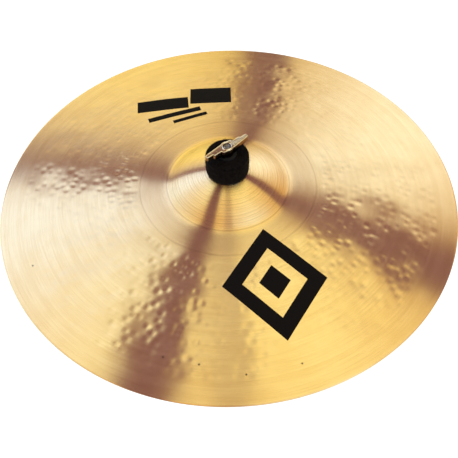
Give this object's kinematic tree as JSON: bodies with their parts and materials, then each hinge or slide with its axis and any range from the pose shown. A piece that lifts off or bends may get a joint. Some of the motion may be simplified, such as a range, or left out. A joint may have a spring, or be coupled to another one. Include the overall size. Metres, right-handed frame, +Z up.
{
  "type": "crash cymbal",
  "caption": "Shallow domed bronze cymbal with a raised bell, held between felts on the threaded rod of a friction tilter by a wing nut.",
  "frame": {"origin": "on the post's axis, in the middle of the length that a stand's clamp grips", "axes": "+Z up along the post and the cymbal's rod; X is the tilter's pivot and clamp screw, with the clamp's wing on +X; +Y is away from a player who stands on -Y"},
  "size_m": [0.4572, 0.4572, 0.1844],
  "materials": {
    "bronze": "lathed and hammered cast bronze, lacquered, fine circular grooves",
    "felt": "dense pressed wool felt, black, fuzzy",
    "nylon": "moulded nylon, satin",
    "nickel": "polished nickel plate on a die casting",
    "chrome": "bright chrome plate",
    "cast_chrome": "chrome plate on a zinc die casting, softly rounded",
    "plated_steel": "bright zinc plate, turned",
    "black_finish": "black oxide on steel, black ink on the bronze",
    "fibre": "pressed fibre, matte"
  },
  "bodies": {
    "tilter_base": {"post": "chrome", "post_pin": "plated_steel", "tilter_body": "cast_chrome", "clamp_nut": "plated_steel", "friction_disc": "fibre"},
    "tilter_arm": {"tilter_head": "cast_chrome", "rod_pin": "plated_steel", "tilter_rod": "plated_steel", "seat_collar": "plated_steel", "collar_screw": "black_finish", "seat_washer": "chrome"},
    "clamp_washers": {"bolt_washer": "plated_steel", "spring_washer": "plated_steel"},
    "clamp_screw": {"clamp_bolt": "plated_steel", "clamp_wing": "cast_chrome"},
    "spinner": {"sleeve": "nylon", "lower_felt": "felt", "upper_felt": "felt"},
    "cymbal": {"cymbal": "bronze"},
    "nut_seat": {"nut_washer": "nylon"},
    "wing_nut": {"wing_nut": "nickel"}
  },
  "joints": [
    {"name": "tilt", "type": "hinge", "parent": "tilter_base", "child": "tilter_arm", "pos_m": [0, 0, 0.063], "axis": [1, 0, 0], "range_deg": [-90, 90]},
    {"name": "clamp_travel", "type": "slide", "parent": "tilter_base", "child": "clamp_washers", "axis": [1, 0, 0], "range_m": [0, 0.00374]},
    {"name": "clamp_turn", "type": "hinge", "parent": "clamp_washers", "child": "clamp_screw", "pos_m": [0, 0, 0.063], "axis": [1, 0, 0], "range_deg": [0, 1080]},
    {"name": "cymbal_spin", "type": "hinge", "parent": "tilter_arm", "child": "spinner", "pos_m": [0, 0, 0.1267], "axis": [0, 0, 1], "continuous": true},
    {"name": "cymbal_rock", "type": "hinge", "parent": "spinner", "child": "cymbal", "pos_m": [0, 0, 0.1267], "axis": [1, 0, 0], "range_deg": [-10, 10], "stiffness_Nm_per_rad": 1.2, "deforming": ["upper_felt", "lower_felt"]},
    {"name": "nut_travel", "type": "slide", "parent": "tilter_arm", "child": "nut_seat", "axis": [0, 0, 1], "range_m": [0, 0.01249]},
    {"name": "nut_turn", "type": "hinge", "parent": "nut_seat", "child": "wing_nut", "pos_m": [0, 0, 0.15], "axis": [0, 0, 1], "range_deg": [0, 3600]}
  ],
  "couplings": [
    {"joint": "clamp_turn", "follows": "clamp_travel", "rad_per_m": 5026.5},
    {"joint": "nut_turn", "follows": "nut_travel", "rad_per_m": 5026.5}
  ]
}
